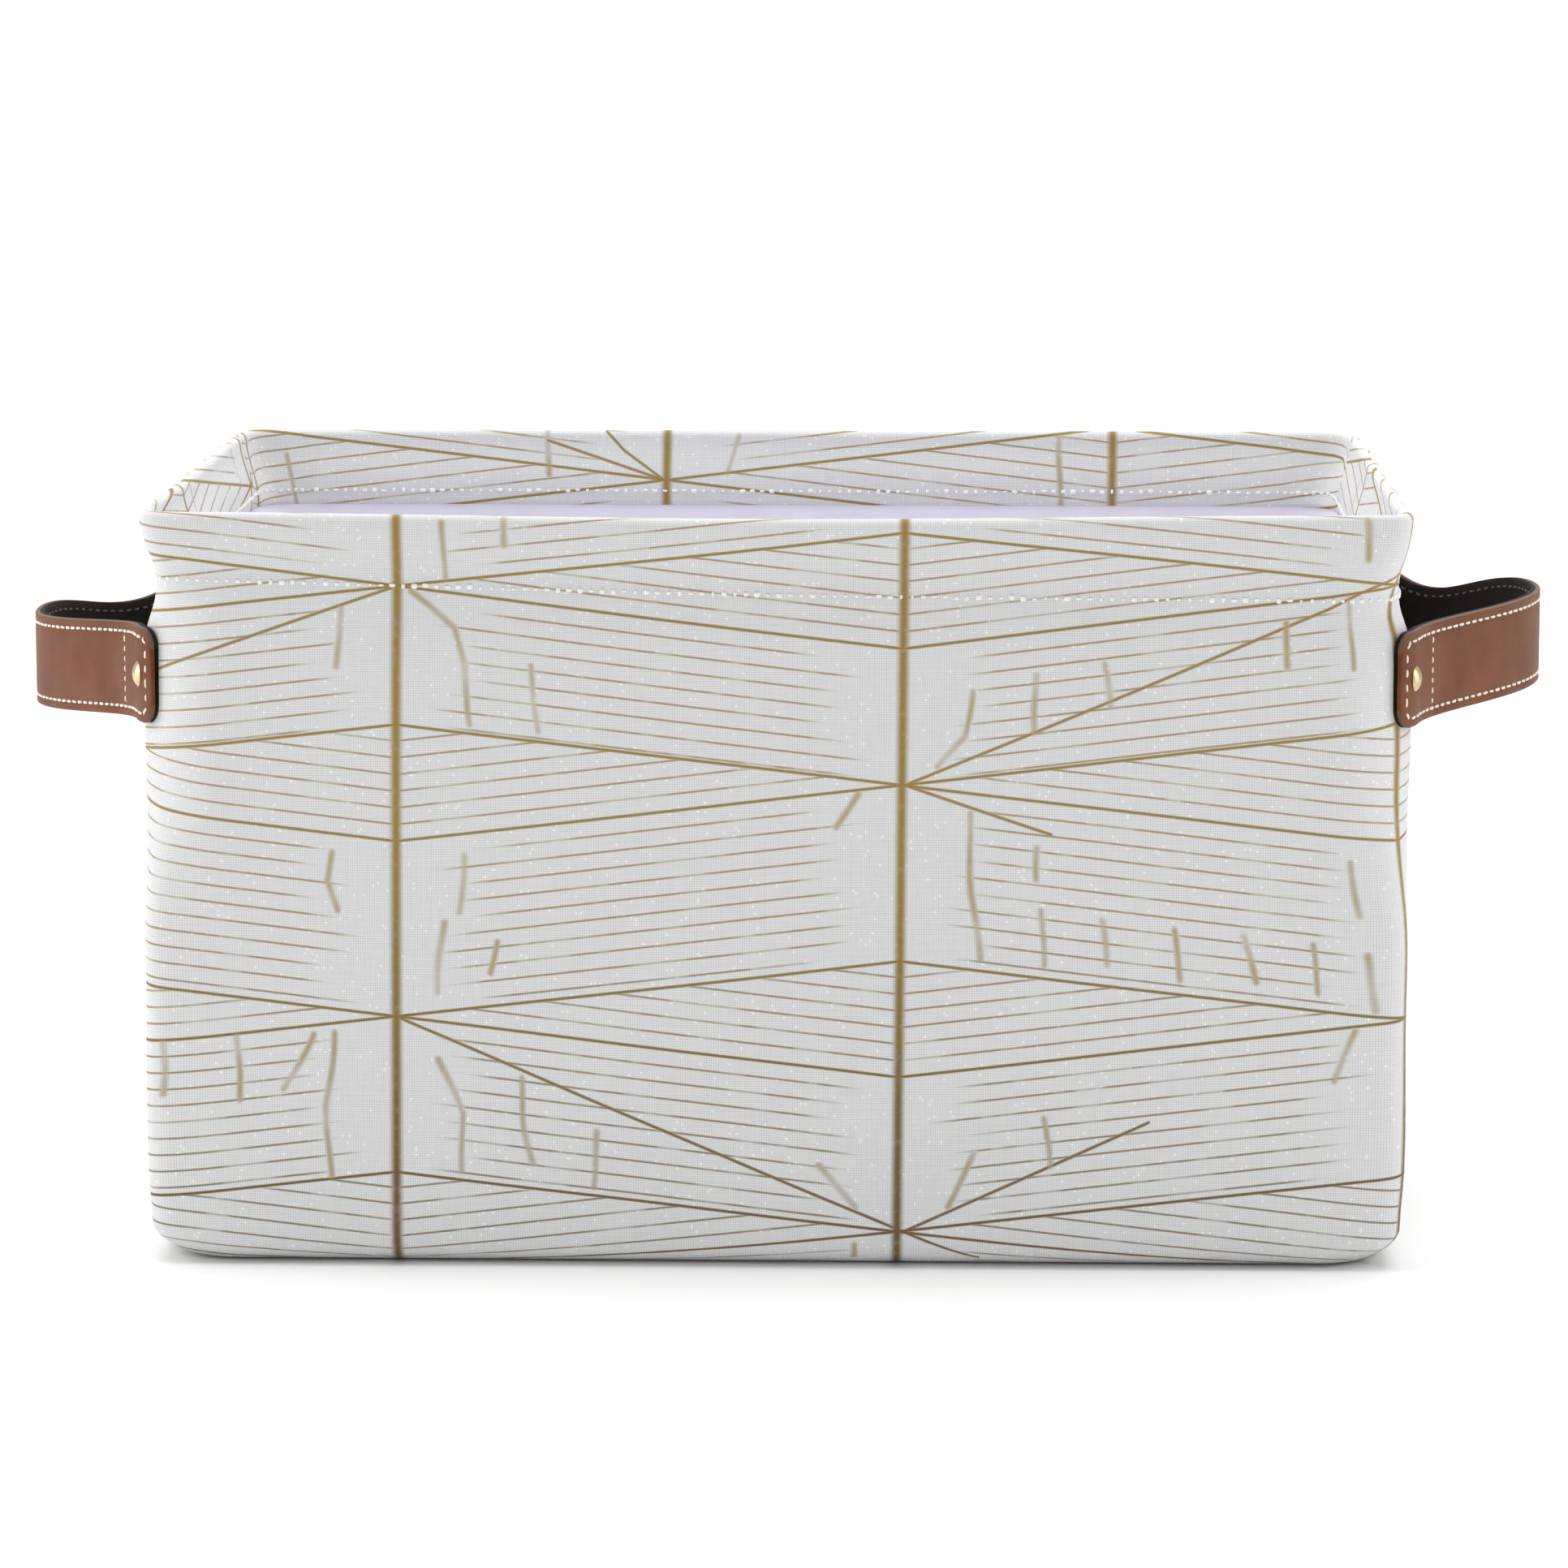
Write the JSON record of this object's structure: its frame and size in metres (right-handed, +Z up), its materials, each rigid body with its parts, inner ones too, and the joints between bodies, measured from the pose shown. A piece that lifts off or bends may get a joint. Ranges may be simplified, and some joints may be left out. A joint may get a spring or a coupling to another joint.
{
  "type": "fabric storage bin",
  "caption": "Rectangular open-top storage bin of padded, printed canvas with a smooth lining, a wired rim, leather strap handles at both ends and a lift-out base board.",
  "frame": {"origin": "on the floor under the middle of the bin", "axes": "+X along the bin's width towards the right handle, +Y from the front wall to the back wall, +Z up"},
  "size_m": [0.502, 0.28, 0.24],
  "materials": {
    "canvas": "off-white woven canvas with a gold line print",
    "padding": "white bonded felt padding",
    "lining": "smooth coated lining, very pale lavender white, slight sheen",
    "steel": "bare drawn spring wire",
    "brown_leather": "brown coated leather with fine grain and white edge stitching",
    "black_leather": "black coated leather, matt",
    "brass": "polished brass",
    "board": "grey-brown bookbinding board"
  },
  "bodies": {
    "bin": {"front_panel": "canvas", "back_panel": "canvas", "left_panel": "canvas", "right_panel": "canvas", "base_panel": "canvas", "front_padding": "padding", "back_padding": "padding", "left_padding": "padding", "right_padding": "padding", "base_padding": "padding", "front_lining": "lining", "back_lining": "lining", "left_lining": "lining", "right_lining": "lining", "base_lining": "lining", "rim_wire": "steel", "wire_ferrule": "steel", "left_front_tab": "brown_leather", "left_back_tab": "brown_leather", "right_front_tab": "brown_leather", "right_back_tab": "brown_leather", "left_front_tab_backing": "black_leather", "left_back_tab_backing": "black_leather", "right_front_tab_backing": "black_leather", "right_back_tab_backing": "black_leather", "left_rivets": "brass", "right_rivets": "brass", "left_washers": "brass", "right_washers": "brass"},
    "left_handle": {"left_strap": "brown_leather", "left_strap_backing": "black_leather"},
    "right_handle": {"right_strap": "brown_leather", "right_strap_backing": "black_leather"},
    "insert": {"base_board": "board", "board_cover": "lining"}
  },
  "joints": [
    {"name": "left_handle_swing", "type": "hinge", "parent": "bin", "child": "left_handle", "pos_m": [-0.216, 0, 0.181], "axis": [0, 1, 0], "range_deg": [-60, 75]},
    {"name": "right_handle_swing", "type": "hinge", "parent": "bin", "child": "right_handle", "pos_m": [0.216, 0, 0.1845], "axis": [0, -1, 0], "range_deg": [-60, 75]},
    {"name": "board_lift", "type": "slide", "parent": "bin", "child": "insert", "axis": [0, 0, 1], "range_m": [0, 0.26]}
  ]
}
